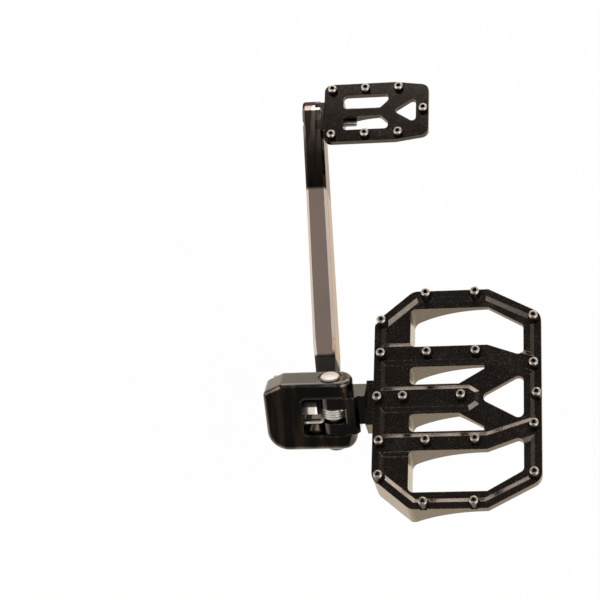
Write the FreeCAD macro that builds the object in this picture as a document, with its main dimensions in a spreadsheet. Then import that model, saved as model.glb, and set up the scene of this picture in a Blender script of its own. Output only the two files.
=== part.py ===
"""Folding motorcycle floorboard with its clevis, hinge tongue and toe lever, in millimetres.

The frame: +X points outboard, +Y forward, +Z up. The origin is the mouth of the threaded hole in the
clevis by which the whole control is bolted to the machine. The hinge pin crosses the X axis and leans
forward by hinge_tilt above the horizontal.
"""
import FreeCAD, Part
import Sketcher
import math
import os
import re

from FreeCAD import Matrix, Placement, Rotation, Vector

doc = FreeCAD.newDocument("Floorboard")
sheet = doc.addObject("Spreadsheet::Sheet", "Sizes")

# Driving sizes, in millimetres and degrees
SIZES = {
    # hinge
    "hinge_reach": 40.5, "hinge_tilt": 52.0, "fork_gap": 25.4, "ear_thickness": 10.0, "ear_width": 18.0,
    "ear_overhang": 13.5, "web_thickness": 22.6, "fork_corner": 13.0, "fork_bevel_x": 11.3, "fork_bevel_p": 5.2,
    "bevel_round": 4.0, "ear_tip_round": 6.5, "fork_edge": 3.2, "outer_round": 2.6, "throat_round": 3.2,
    "edge_break": 0.5, "joint_play": 0.3, "running_play": 0.05, "cut_over": 1.0,
    "pin_diameter": 8.0, "pin_head_diameter": 11.6, "pin_head_height": 1.4, "pin_dome": 0.4,
    "head_edge": 0.6, "head_recess_width": 1.5, "head_recess_depth": 1.2, "pin_tail": 3.4,
    "ring_thickness": 1.2, "ring_width": 2.0, "ring_groove": 0.6, "pin_washer_thickness": 0.8,
    "pin_washer_width": 2.3,
    # mounting face
    "mount_thread": 10.0, "mount_depth": 16.0, "dowel_diameter": 6.0, "dowel_depth": 8.0,
    "dowel_p": -6.0, "dowel_q": -20.0,
    # lever pivot
    "pivot_y": 20.0, "pivot_z": -26.0, "boss_radius": 14.0, "shaft_diameter": 10.0, "shaft_wall": 5.2,
    "shaft_chamfer": 0.8, "lock_thread": 4.0, "lock_length": 6.0,
    "spacer_length": 4.6, "spacer_wall": 1.6, "hub_radius": 15.0, "hub_width": 12.6, "bushing_wall": 1.2,
    "hub_play": 0.15, "shaft_washer_thickness": 1.4, "shaft_washer_width": 4.5, "shaft_tail": 2.2,
    # toe lever
    "arm_lean": 3.6, "arm_rise": 7.3, "arm_length": 189.0, "arm_depth_root": 24.0, "arm_depth_tip": 19.0,
    "arm_width_root": 11.0, "arm_width_swell": 13.6, "arm_width_waist": 12.9, "arm_width_tip": 13.0,
    "arm_start": 0.1, "arm_swell": 28.0, "arm_waist": 128.0, "arm_nose": 22.0, "nose_round": 8.0, "arm_edge": 1.7,
    "rod_arm": 28.0, "rod_arm_swing": 12.0, "rod_arm_root": 12.0,
    "rod_eye_radius": 8.0, "rod_hole": 8.0, "rod_arm_thickness": 8.0,
    # toe pad
    "pad_stand": 1.4, "pad_setback": 11.7, "pad_lift": 1.56, "pad_length": 66.4, "pad_half": 20.6,
    "pad_kink": 45.5, "pad_tip_half": 17.6, "pad_corner": 5.0, "pad_lug": 11.8, "pad_lug_depth": 12.0,
    "pad_plate": 4.2, "pad_taper_end": 38.0, "pad_bar_half": 2.6, "pad_slot_outer": 12.5, "pad_slot_end": 40.8,
    "pad_slot_cut": 5.2, "pad_apex": 43.6, "pad_window_end": 58.4, "pad_window_half": 9.8,
    "pad_pin_y": 16.2, "pad_pin_first": 5.2, "pad_pin_pitch": 21.1, "pad_pin_tip": 63.0,
    "pad_pin_rise": 3.6, "pad_bolt_diameter": 4.0, "pad_bolt_head": 6.0, "pad_bolt_head_height": 4.0,
    "pad_bolt_spread": 4.4, "pad_bolt_drop": 6.6, "pad_bolt_stick": 8.4, "pad_seat_half": 9.5,
    "pad_seat_rise": 4.6, "pad_bolt_seat": 8.6, "pad_slot_start": 12.3, "pad_pin_sink": 0.6,
    "pad_window_round": 2.4,
    # deck
    "deck_reach": 25.7, "deck_y": 0.7, "deck_top": 13.8, "deck_width": 100.0, "deck_half": 69.8,
    "spine_width": 21.5, "spine_depth": 25.5, "plate_depth": 5.5, "taper_end": 68.0,
    "left_drop": 19.8, "left_cut": 23.0, "right_drop": 16.8, "right_cut": 31.5, "deck_corner": 8.0,
    "rail_width": 11.1, "frame_width": 10.7, "bar_outer": 33.3, "slot_outer": 20.8, "middle_half": 9.4,
    "window_kink": 32.0, "window_drop": 12.4, "window_low_drop": 7.8, "slot_end": 34.0,
    "slot_corner_drop": 2.3, "slot_taper": 15.0, "apex_gap": 37.7, "triangle_half": 15.4,
    "opening_corner": 3.2, "relief_depth": 1.6, "relief_angle": 58.0, "rim_width": 4.2, "bar_lip": 0.5,
    "middle_ridge": 5.6, "ridge_inner": 24.6, "ridge_back": 39.5, "ridge_point": 4.0, "ridge_drop": 9.0,
    # traction pins
    "stud_diameter": 5.4, "stud_rise": 6.2, "stud_chamfer": 0.7, "stud_socket": 2.6, "stud_socket_depth": 2.4,
    "stud_shank": 4.0, "stud_pocket": 7.4, "stud_pocket_depth": 1.8, "stud_shank_length": 3.0,
    "stud_spare": 0.55, "stud_inset": 4.4, "row_first": 31.0, "row_second": 39.4, "row_inset": 3.1,
    "corner_drop": 20.2, "bar_stud": 28.1, "bar_first": 32.0, "bar_second": 38.9, "side_stud": 19.3,
    "middle_inset": 2.8, "middle_first": 18.2, "middle_second": 47.4,
    # tongue
    "tongue_end_radius": 8.6, "tongue_slot": 9.8, "tongue_length": 16.0,
    "neck_top": 12.4, "neck_bottom": 7.0, "neck_front": 5.4, "neck_back": 9.4, "heel_length": 5.5,
    "heel_drop": 4.6, "heel_inset": 3.4, "shoulder_cut": 2.0, "shoulder_lip": 0.4, "spigot_p": 1.2, "spigot_q": -3.2,
    "spigot_radius": 5.2, "spigot_length": 15.0, "base_thickness": 5.4, "base_front": 15.6,
    "base_rear": 13.0, "base_drop": 8.0, "base_foot": 22.5, "tongue_bushing_wall": 1.0,
    "screw_thread": 6.0, "screw_head": 10.0, "screw_head_height": 3.0, "screw_pitch": 9.0, "screw_first": 4.5,
    # torsion spring
    "wire": 1.7, "coil_radius": 6.15, "coil_play": 0.15, "slot_room": 1.9, "coils": 4.5, "leg_out": 7.2,
    "coil_slack": 0.1,
}
for row, (name, number) in enumerate(SIZES.items(), start=1):
    sheet.set(f"A{row}", name)
    sheet.set(f"B{row}", str(number))
    sheet.setAlias(f"B{row}", name)
doc.recompute()

WORD = re.compile(r"\b[a-z]+_[a-z_]+\b|\bwire\b|\bcoils\b")


def bound(text):
    """An expression on size names, as another object of the document writes it."""
    return WORD.sub(lambda found: "Sizes." + found.group(0), str(text))


def value(text):
    """The number that an expression on size names has now."""
    return float(sheet.evalExpression(str(text)))


def body(label, tilted=False):
    """A new sub-part. A tilted one has its Y axis along the hinge pin and its origin on the hinge."""
    made = doc.addObject("PartDesign::Body", label)
    made.Label = label
    if tilted:
        made.Placement = Placement(Vector(value("hinge_reach"), 0, 0), Rotation(Vector(1, 0, 0), 1))
        made.setExpression("Placement.Base.x", bound("hinge_reach"))
        made.setExpression("Placement.Rotation.Angle", bound("hinge_tilt"))
    return made


def sketch_on(owner, name, plane, level="0", level_with_part=False):
    """An empty sketch on one of a body's origin planes, raised by level along the plane's normal.

    In a tilted body, level_with_part turns the sketch back by the tilt, so that its normal is upright.
    """
    made = owner.newObject("Sketcher::SketchObject", name)
    base = [item for item in owner.Origin.OriginFeatures if item.Role == plane][0]
    made.AttachmentSupport = [(base, "")]
    made.MapMode = "FlatFace"
    if level_with_part:
        made.AttachmentOffset = Placement(Vector(0, 0, 0), Rotation(Vector(-1, 0, 0), 1))
        made.setExpression("AttachmentOffset.Rotation.Angle", bound("hinge_tilt"))
    made.setExpression("AttachmentOffset.Base.z", bound(level))
    return made


def fix_point(sketch, edge, end, x, y):
    """Ties one end of a sketch edge to its place from the sketch's origin."""
    for kind, text in (("DistanceX", x), ("DistanceY", y)):
        number = sketch.addConstraint(Sketcher.Constraint(kind, -1, 1, edge, end, value(text)))
        sketch.setExpression(f"Constraints[{number}]", bound(text))


def outline(owner, name, plane, points, level="0"):
    """A closed outline. A third entry of a point is the signed radius of the arc that leads to it."""
    sketch = sketch_on(owner, name, plane, level)
    places = [Vector(value(point[0]), value(point[1]), 0) for point in points]
    ends = []
    for index, point in enumerate(points):
        start, stop = places[index - 1], places[index]
        if len(point) == 2:
            sketch.addGeometry(Part.LineSegment(start, stop), False)
            ends.append((1, 2))
            continue
        radius = value(point[2])
        chord = stop - start
        side = Vector(-chord.y, chord.x, 0).normalize()
        drop = math.sqrt(radius ** 2 - (chord.Length / 2) ** 2)
        centre = (start + stop) * 0.5 + side * math.copysign(drop, radius)
        angles = [math.atan2(spot.y - centre.y, spot.x - centre.x) for spot in (start, stop)]
        if radius < 0:
            angles.reverse()
        circle = Part.Circle(centre, Vector(0, 0, 1), abs(radius))
        edge = sketch.addGeometry(Part.ArcOfCircle(circle, angles[0], angles[1]), False)
        number = sketch.addConstraint(Sketcher.Constraint("Radius", edge, abs(radius)))
        sketch.setExpression(f"Constraints[{number}]", bound(f"abs({point[2]})"))
        ends.append((1, 2) if radius > 0 else (2, 1))
    for index, point in enumerate(points):
        following = (index + 1) % len(points)
        sketch.addConstraint(Sketcher.Constraint("Coincident", index, ends[index][1],
                                                 following, ends[following][0]))
        fix_point(sketch, index, ends[index][1], point[0], point[1])
    return sketch


def circles(owner, name, plane, spots, level="0", level_with_part=False):
    """A sketch of round holes, each given by its centre and its radius."""
    sketch = sketch_on(owner, name, plane, level, level_with_part)
    for x, y, radius in spots:
        circle = Part.Circle(Vector(value(x), value(y), 0), Vector(0, 0, 1), value(radius))
        edge = sketch.addGeometry(circle, False)
        number = sketch.addConstraint(Sketcher.Constraint("Radius", edge, value(radius)))
        sketch.setExpression(f"Constraints[{number}]", bound(radius))
        fix_point(sketch, edge, 3, x, y)
    return sketch


def feature(owner, kind, name, sketch, length, **extra):
    """A pad or a pocket of a sketch, with its length tied to the sheet."""
    before = owner.Tip.Shape.Volume if kind == "Pocket" else 0
    made = owner.newObject("PartDesign::" + kind, name)
    made.Profile = sketch
    made.setExpression("Length", bound(length))
    for key, setting in extra.items():
        setattr(made, key, setting)
    owner.Tip = made
    doc.recompute()
    if kind == "Pocket" and not made.Shape.Volume < before - 0.01:
        raise RuntimeError(name + " cuts nothing")
    return made


def pad(owner, name, sketch, length, **extra):
    return feature(owner, "Pad", name, sketch, length, **extra)


def pocket(owner, name, sketch, length, **extra):
    return feature(owner, "Pocket", name, sketch, length, **extra)


def turned(owner, name, points, axis="H_Axis"):
    """A turned piece: half its section, in the XY plane, turned about the X or the Y axis of its body."""
    sketch = outline(owner, name + "_section", "XY_Plane", points)
    made = owner.newObject("PartDesign::Revolution", name)
    made.Profile = sketch
    made.ReferenceAxis = (sketch, [axis])
    made.Angle = 360
    owner.Tip = made
    doc.recompute()
    return made


def finish_edges(owner, kind, name, size, chosen):
    """A fillet or chamfer on the edges of the body that a test chooses."""
    tip = owner.Tip
    names = [f"Edge{index}" for index, edge in enumerate(tip.Shape.Edges, start=1) if chosen(edge)]
    if not names:
        raise RuntimeError(name + " finds no edge")
    made = owner.newObject("PartDesign::" + kind, name)
    made.Base = (tip, names)
    made.setExpression("Size" if kind == "Chamfer" else "Radius", bound(size))
    owner.Tip = made
    doc.recompute()
    return made


def upright_at(spots, axis="z", reach=0.05):
    """A test for straight edges along an axis, at given places in the plane across it."""
    order = {"x": ("y", "z"), "y": ("x", "z"), "z": ("x", "y")}[axis]
    places = [(value(a), value(b)) for a, b in spots]

    def chosen(edge):
        if edge.Curve.TypeId != "Part::GeomLine":
            return False
        tangent = edge.tangentAt(edge.FirstParameter)
        if abs(getattr(tangent, axis)) < 0.999:
            return False
        middle = edge.CenterOfMass
        spot = (getattr(middle, order[0]), getattr(middle, order[1]))
        return any(abs(spot[0] - a) < reach and abs(spot[1] - b) < reach for a, b in places)
    return chosen


def solid_group(label, shapes):
    """Loose like pieces under one name."""
    made = doc.addObject("Part::Feature", label)
    made.Label = label
    made.Shape = Part.makeCompound(shapes)
    return made


pieces = []


def keep(piece):
    pieces.append(piece)
    return piece


# Clevis: a C shaped fork, its web and the boss below it that carries the lever shaft
fork_half = "fork_gap / 2 + ear_thickness"
clevis = keep(body("clevis", tilted=True))
left = "0 - hinge_reach"
ear_end = "ear_overhang"
inner = "web_thickness - hinge_reach"
pad(clevis, "fork", outline(clevis, "fork_outline", "XY_Plane", [
    (left, f"0 - ({fork_half})"),
    (ear_end, f"0 - ({fork_half})"),
    (ear_end, "0 - fork_gap / 2"),
    (inner, "0 - fork_gap / 2"),
    (inner, "fork_gap / 2"),
    (ear_end, "fork_gap / 2"),
    (ear_end, fork_half),
    (f"{left} + fork_bevel_x", fork_half),
    (left, f"{fork_half} - fork_bevel_p"),
], "0 - ear_width / 2"), "ear_width")

# The web runs down behind the fork to the boss, with sides that meet the boss as tangents
boss_p = "pivot_y * cos(hinge_tilt) + pivot_z * sin(hinge_tilt)"
boss_q = "pivot_z * cos(hinge_tilt) - pivot_y * sin(hinge_tilt)"
pad(clevis, "web_wing", outline(clevis, "wing_outline", "YZ_Plane", [
    ("fork_gap / 2", "0"),
    ("fork_gap / 2", "0 - ear_width / 2"),
    (f"({boss_p}) + boss_radius", boss_q),
    (f"({boss_p}) - boss_radius", boss_q, "0 - boss_radius - 0.001"),
    (f"0 - ({fork_half}) + fork_edge", "0 - ear_width / 2"),
    (f"0 - ({fork_half}) + fork_edge", "0"),
], left), "web_thickness")

finish_edges(clevis, "Fillet", "fork_corner_round", "fork_corner",
             upright_at([(left, f"0 - ({fork_half})")]))
finish_edges(clevis, "Fillet", "ear_tip", "ear_tip_round", upright_at([(ear_end, f"0 - ({fork_half})")]))
finish_edges(clevis, "Fillet", "bevel_rounds", "bevel_round", upright_at(
    [(f"{left} + fork_bevel_x", fork_half), (left, f"{fork_half} - fork_bevel_p")]))
finish_edges(clevis, "Fillet", "fork_throat", "throat_round", upright_at(
    [(inner, "0 - fork_gap / 2"), (inner, "fork_gap / 2")]))
full_round = "ear_width / 2"
pocket(clevis, "ear_ends", outline(clevis, "ear_end_outline", "XZ_Plane", [
    (f"{ear_end} - {full_round}", full_round),
    (f"{ear_end} - {full_round}", f"0 - {full_round}", f"0 - {full_round} - 0.001"),
    (f"{ear_end} + cut_over", f"0 - {full_round}"),
    (f"{ear_end} + cut_over", full_round),
], f"0 - ({fork_half}) - cut_over"), f"2 * (({fork_half}) + cut_over)", Reversed=True)


def on_outer_face(edge):
    """Tells whether an edge runs round the outer face of the upper ear."""
    box = edge.BoundBox
    level = value(fork_half)
    return abs(box.YMin - level) < 0.01 and box.YLength < 0.01 and box.XLength > 1


finish_edges(clevis, "Fillet", "outer_rounds", "outer_round", on_outer_face)

pin_radius = "pin_diameter / 2"
pocket(clevis, "pin_bore", circles(clevis, "pin_bore_circle", "XZ_Plane",
       [("0", "0", f"{pin_radius} + running_play / 2")], f"0 - ({fork_half}) - cut_over"),
       f"2 * (({fork_half}) + cut_over)", Reversed=True)
pocket(clevis, "head_recess", circles(clevis, "head_recess_circle", "XZ_Plane",
       [("0", "0", "pin_head_diameter / 2 + head_recess_width")], f"0 - ({fork_half})"),
       "head_recess_depth", Reversed=True)
shaft_seat = "(web_thickness - shaft_wall)"
pocket(clevis, "shaft_bore", circles(clevis, "shaft_bore_circle", "YZ_Plane",
       [(boss_p, boss_q, "shaft_diameter / 2 + running_play / 2")], inner), shaft_seat)
pocket(clevis, "mount_hole", circles(clevis, "mount_hole_circle", "YZ_Plane",
       [("0", "0", "mount_thread / 2")], left), "mount_depth", Reversed=True)
pocket(clevis, "dowel_hole", circles(clevis, "dowel_hole_circle", "YZ_Plane",
       [("dowel_p", "dowel_q", "dowel_diameter / 2")], left), "dowel_depth", Reversed=True)

# A set screw from below locks the shaft in its boss
lock_x = f"{left} + web_thickness - {shaft_seat} / 2"
pocket(clevis, "lock_hole", circles(clevis, "lock_hole_circle", "XY_Plane",
       [(lock_x, boss_p, "lock_thread / 2")], f"{boss_q} - boss_radius"),
       "boss_radius", Reversed=True)


def round_the_pin(label, start, length, inner_radius, outer_radius):
    """A plain ring on the hinge pin, from a height along the pin."""
    made = keep(body(label, tilted=True))
    pad(made, label + "_ring", circles(made, label + "_circles", "XZ_Plane",
        [("0", "0", inner_radius), ("0", "0", outer_radius)], f"0 - ({start}) - ({length})"), length)


def on_axis(piece, y, z, x="0"):
    """Puts a turned piece's axis at a height and a depth, with its own origin at x."""
    piece.Placement = Placement(Vector(value(x), value(y), value(z)), Rotation())
    piece.setExpression("Placement.Base.x", bound(x))
    piece.setExpression("Placement.Base.y", bound(y))
    piece.setExpression("Placement.Base.z", bound(z))


# Hinge pin: domed head in the recess of the upper ear, groove for the ring below the lower ear
hinge_pin = keep(body("hinge_pin", tilted=True))
head_seat = f"{fork_half} - head_recess_depth"
tail_end = f"0 - ({fork_half}) - pin_tail"
ring_top = f"0 - ({fork_half}) - pin_washer_thickness"
head_radius = "pin_head_diameter / 2"
groove_radius = f"{pin_radius} - ring_groove"
turned(hinge_pin, "pin_turned", [
    ("0", tail_end),
    (f"{pin_radius} - edge_break", tail_end),
    (pin_radius, f"{tail_end} + edge_break"),
    (pin_radius, f"{ring_top} - ring_thickness"),
    (groove_radius, f"{ring_top} - ring_thickness"),
    (groove_radius, ring_top),
    (pin_radius, ring_top),
    (pin_radius, head_seat),
    (head_radius, head_seat),
    (head_radius, f"{fork_half} + pin_head_height - pin_dome - head_edge"),
    (f"{head_radius} - head_edge", f"{fork_half} + pin_head_height - pin_dome"),
    ("0", f"{fork_half} + pin_head_height",
     f"(({head_radius} - head_edge)^2 + pin_dome^2) / (2 * pin_dome)"),
], "V_Axis")

round_the_pin("pin_washer", ring_top, "pin_washer_thickness", f"{pin_radius} + running_play",
              f"{pin_radius} + pin_washer_width")
round_the_pin("pin_ring", f"{ring_top} - ring_thickness", "ring_thickness", f"{groove_radius} + running_play",
              f"{pin_radius} + ring_width")

# Torsion spring: a coil round the hinge pin and a leg that bears on the web
spring = keep(doc.addObject("Part::Feature", "torsion_spring"))
spring.Label = "torsion_spring"
wire_radius = value("wire / 2")
coil_radius = value("coil_radius")
coil_height = value("wire * coils + coil_slack")
coil = Part.makeHelix(coil_height / value("coils"), coil_height, coil_radius)
ring = Part.Wire(Part.Circle(Vector(coil_radius, 0, 0), Vector(0, 1, 0), wire_radius).toShape())
coil_solid = Part.Wire(coil.Edges).makePipeShell([ring], True, True)
coil_solid.translate(Vector(0, 0, -coil_height / 2))
low = -coil_height / 2
leg_out = value("leg_out")
web_leg = value("hinge_reach - web_thickness - coil_play") - coil_radius
bend = Vector(coil_radius, -leg_out, low)
spring_shape = coil_solid.fuse([
    Part.makeCylinder(wire_radius, leg_out, Vector(-coil_radius, 0, -low), Vector(0, -1, 0)),
    Part.makeCylinder(wire_radius, leg_out, Vector(coil_radius, 0, low), Vector(0, -1, 0)),
])
spring_shape = spring_shape.fuse([
    Part.makeSphere(wire_radius, bend),
    Part.makeCylinder(wire_radius, web_leg - wire_radius, bend, Vector(1, 0, 0)),
])
spring.Shape = spring_shape.Solids[0].mirror(Vector(0, 0, 0), Vector(0, 0, 1))
# The coil is made upright with +X towards the web: lay it along the pin
onto_pin = Placement(Vector(value("hinge_reach"), 0, 0), Rotation(Vector(1, 0, 0), value("hinge_tilt")))
upright = Placement(Matrix(-1, 0, 0, 0, 0, 0, -1, 0, 0, -1, 0, 0, 0, 0, 0, 1))
spring.Placement = onto_pin.multiply(upright)

# Lever shaft, spacer, washer and ring: turned pieces on the pivot axis
shaft_radius = "shaft_diameter / 2"
shaft = keep(body("pivot_shaft"))
on_axis(shaft, "pivot_y", "pivot_z")
shaft_start = "shaft_wall"
hub_start = "web_thickness + spacer_length + hub_play"
hub_end = f"{hub_start} + hub_width"
washer_start = f"{hub_end} + hub_play"
clip_start = f"{washer_start} + shaft_washer_thickness"
shaft_end = f"{clip_start} + ring_thickness + shaft_tail"
turned(shaft, "shaft_turned", [
    (shaft_start, "0"),
    (shaft_end, "0"),
    (shaft_end, f"{shaft_radius} - shaft_chamfer"),
    (f"{shaft_end} - shaft_chamfer", shaft_radius),
    (f"{clip_start} + ring_thickness", shaft_radius),
    (f"{clip_start} + ring_thickness", f"{shaft_radius} - ring_groove"),
    (clip_start, f"{shaft_radius} - ring_groove"),
    (clip_start, shaft_radius),
    (shaft_start, shaft_radius),
])


def on_shaft(label, first, last, inner_radius, outer_radius):
    """A turned ring on the lever shaft."""
    made = keep(body(label))
    on_axis(made, "pivot_y", "pivot_z")
    turned(made, label + "_turned", [(first, inner_radius), (last, inner_radius),
                                     (last, outer_radius), (first, outer_radius)])
    return made


on_shaft("shaft_spacer", "web_thickness", "web_thickness + spacer_length", f"{shaft_radius} + running_play",
         f"{shaft_radius} + spacer_wall")
on_shaft("shaft_washer", washer_start, clip_start, f"{shaft_radius} + running_play",
         f"{shaft_radius} + shaft_washer_width")
on_shaft("shaft_ring", clip_start, f"{clip_start} + ring_thickness",
         f"{shaft_radius} - ring_groove + running_play", f"{shaft_radius} + ring_width")
lock = keep(body("shaft_lock_screw", tilted=True))
pad(lock, "lock_body", circles(lock, "lock_circle", "XY_Plane",
    [(lock_x, boss_p, "lock_thread / 2 - running_play")],
    f"{boss_q} - {shaft_radius} - running_play - lock_length"), "lock_length")
pocket(lock, "lock_socket", outline(lock, "lock_socket_outline", "XY_Plane", [
    (f"{lock_x} + lock_thread / 4 * cos({angle})", f"{boss_p} + lock_thread / 4 * sin({angle})")
    for angle in range(0, 360, 60)], f"{boss_q} - {shaft_radius} - running_play - lock_length"),
    "lock_length / 2", Reversed=True)

# Toe lever: forged arm with a hub, drawn from the side and from above, leaning inboard
lever = keep(body("toe_lever"))
hub_middle = f"{hub_start} + hub_width / 2"
on_axis(lever, "pivot_y", "pivot_z", hub_middle)
top_root = "hub_radius / cos(arm_rise)"


def arm_section(name, distance, width, depth, drop="0"):
    """The arm's section at a distance forward of the hub: a bar with its upper edges bevelled."""
    middle = f"0 - ({distance}) * tan(arm_lean)"
    high = f"{top_root} + ({distance}) * tan(arm_rise)"
    low = f"{high} - ({depth})"
    top = f"{high} - ({drop})"
    half = f"({width}) / 2"
    return outline(lever, name, "XZ_Plane", [
        (f"{middle} - {half}", low),
        (f"{middle} + {half}", low),
        (f"{middle} + {half}", f"{top} - arm_edge"),
        (f"{middle} + {half} - arm_edge", top),
        (f"{middle} - {half} + arm_edge", top),
        (f"{middle} - {half}", f"{top} - arm_edge"),
    ], f"0 - ({distance})")


sections = [
    arm_section("arm_root", "arm_start", "arm_width_root", "arm_depth_root"),
    arm_section("arm_swell_section", "arm_swell", "arm_width_swell", "arm_depth_root"),
    arm_section("arm_waist_section", "arm_waist", "arm_width_waist", "(arm_depth_root + arm_depth_tip) / 2"),
    arm_section("arm_shoulder", "arm_length - arm_nose", "arm_width_tip", "arm_depth_tip"),
    arm_section("arm_nose_start", "arm_length - nose_round", "arm_width_tip", "arm_depth_tip"),
    arm_section("arm_nose_end", "arm_length", "arm_width_tip", "arm_depth_tip - nose_round / 4", "nose_round * 0.6"),
]
arm = lever.newObject("PartDesign::AdditiveLoft", "arm")
arm.Profile = sections[0]
arm.Sections = sections[1:]
arm.Ruled = True
lever.Tip = arm
doc.recompute()
pad(lever, "hub", circles(lever, "hub_circle", "YZ_Plane", [("0", "0", "hub_radius")],
    "0 - hub_width / 2"), "hub_width")
eye_y = "0 - rod_arm * sin(rod_arm_swing)"
eye_z = "0 - rod_arm * cos(rod_arm_swing)"
pad(lever, "rod_arm_plate", outline(lever, "rod_arm_outline", "YZ_Plane", [
    (f"({eye_y}) + rod_eye_radius * cos(rod_arm_swing)", f"({eye_z}) - rod_eye_radius * sin(rod_arm_swing)"),
    ("rod_arm_root", "0"),
    ("0 - rod_arm_root", "0"),
    (f"({eye_y}) - rod_eye_radius * cos(rod_arm_swing)", f"({eye_z}) + rod_eye_radius * sin(rod_arm_swing)"),
][::-1], "0 - rod_arm_thickness / 2"), "rod_arm_thickness")
pad(lever, "rod_eye", circles(lever, "rod_eye_circle", "YZ_Plane", [(eye_y, eye_z, "rod_eye_radius")],
    "0 - rod_arm_thickness / 2"), "rod_arm_thickness")
pocket(lever, "rod_eye_hole", circles(lever, "rod_eye_hole_circle", "YZ_Plane",
       [(eye_y, eye_z, "rod_hole / 2")], "hub_width"), "2 * hub_width")

# A flat seat at the tip takes the pad, and its two bolt heads are sunk in the inboard face
bolt_y = "(arm_length - pad_setback)"
seat_x = f"arm_width_tip / 2 + pad_stand - {bolt_y} * tan(arm_lean)"
seat_top = f"{top_root} + {bolt_y} * tan(arm_rise) + pad_lift"
pad_x = f"{hub_middle} + {seat_x}"
pad_y = f"pivot_y + {bolt_y}"
pad_top = f"pivot_z + {seat_top}"
bolt_z = f"{seat_top} - pad_bolt_drop"
pad(lever, "pad_seat", outline(lever, "pad_seat_outline", "YZ_Plane", [
    (f"{bolt_y} - pad_seat_half", f"{bolt_z} - pad_seat_rise"),
    (f"{bolt_y} + pad_seat_half", f"{bolt_z} - pad_seat_rise"),
    (f"{bolt_y} + pad_seat_half", f"{bolt_z} + pad_seat_rise"),
    (f"{bolt_y} - pad_seat_half", f"{bolt_z} + pad_seat_rise"),
], f"{seat_x} - arm_width_tip / 2"), "arm_width_tip / 2")
bolt_spots = [(f"{bolt_y} + ({sign}) * pad_bolt_spread", bolt_z) for sign in ("1", "0 - 1")]
head_floor = f"{seat_x} - pad_bolt_seat"
pocket(lever, "pad_bolt_holes", circles(lever, "pad_bolt_hole_circles", "YZ_Plane",
       [(y, z, "pad_bolt_diameter / 2 + running_play") for y, z in bolt_spots], seat_x), "2 * arm_width_tip")
pocket(lever, "pad_head_holes", circles(lever, "pad_head_hole_circles", "YZ_Plane",
       [(y, z, "pad_bolt_head / 2 + joint_play") for y, z in bolt_spots], head_floor), "arm_width_tip")
bushing_radius = f"{shaft_radius} + bushing_wall"
pocket(lever, "hub_bore", circles(lever, "hub_bore_circle", "YZ_Plane",
       [("0", "0", bushing_radius)], "hub_width"), "2 * hub_width")
on_shaft("lever_bushing", hub_start, hub_end, f"{shaft_radius} + running_play", bushing_radius)

# Hinge tongue: two lugs on the pin with the spring between them, a square neck and a spigot
tongue = keep(body("hinge_tongue", tilted=True))
lug = "fork_gap / 2 - joint_play"
neck_x = "deck_reach - base_thickness"
pad(tongue, "lugs", outline(tongue, "lug_outline", "XZ_Plane", [
    ("0", "0 - tongue_end_radius", "tongue_end_radius + 0.001"),
    ("tongue_length", "0 - tongue_end_radius"),
    ("tongue_length", "neck_front"),
    ("tongue_length - shoulder_cut", "tongue_end_radius - shoulder_lip"),
    ("0", "tongue_end_radius"),
], f"0 - ({lug})"), f"2 * ({lug})")
heel_low = f"{lug} - heel_inset"
heel_top = "tongue_slot / 2 + joint_play"
pad(tongue, "heel", outline(tongue, "heel_outline", "XZ_Plane", [
    (f"{inner} + joint_play", "0 - heel_drop"),
    ("0", "0 - heel_drop"),
    ("0", "heel_length - heel_drop"),
    (f"{inner} + joint_play", "heel_length - heel_drop"),
], heel_top), f"({heel_low}) - ({heel_top})")
slot_end_x = "coil_radius + wire / 2 + slot_room"
pocket(tongue, "spring_slot", outline(tongue, "spring_slot_outline", "XY_Plane", [
    ("0 - tongue_end_radius - cut_over", "0 - tongue_slot / 2"),
    (slot_end_x, "0 - tongue_slot / 2"),
    (slot_end_x, "tongue_slot / 2"),
    ("0 - tongue_end_radius - cut_over", "tongue_slot / 2"),
], "tongue_end_radius + cut_over"), "2 * (tongue_end_radius + cut_over)")
pad(tongue, "neck", outline(tongue, "neck_outline", "YZ_Plane", [
    ("neck_top", "neck_front"),
    ("0 - neck_bottom", "neck_front"),
    ("0 - neck_bottom", "0 - neck_back"),
    ("neck_top", "0 - neck_back"),
][::-1], "tongue_length - shoulder_cut * 2"), f"{neck_x} - tongue_length + shoulder_cut * 2")
bush_hole = "pin_diameter / 2 + tongue_bushing_wall"
pocket(tongue, "tongue_bore", circles(tongue, "tongue_bore_circle", "XZ_Plane",
       [("0", "0", bush_hole)], f"0 - ({lug}) - cut_over"), f"2 * (({lug}) + cut_over)", Reversed=True)

# The spigot lies along +X within the neck's end, and the base flange belongs to the deck
spigot_y = "spigot_p * cos(hinge_tilt) - spigot_q * sin(hinge_tilt)"
spigot_z = "spigot_p * sin(hinge_tilt) + spigot_q * cos(hinge_tilt)"
pad(tongue, "spigot", circles(tongue, "spigot_circle", "YZ_Plane",
    [("spigot_p", "spigot_q", "spigot_radius")], f"{neck_x} - edge_break"),
    "spigot_length + base_thickness + edge_break")

bushes = []
for name, sign in (("upper", 1), ("lower", -1)):
    made = body("hinge_bushing_" + name, tilted=True)
    low = "tongue_slot / 2" if sign > 0 else f"0 - ({lug})"
    pad(made, name + "_bush", circles(made, name + "_bush_circles", "XZ_Plane",
        [("0", "0", "pin_diameter / 2 + running_play"), ("0", "0", bush_hole)],
        f"0 - ({low}) - (({lug}) - tongue_slot / 2)"), f"({lug}) - tongue_slot / 2")
    bushes.append(made)
pieces.extend(bushes)

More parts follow.
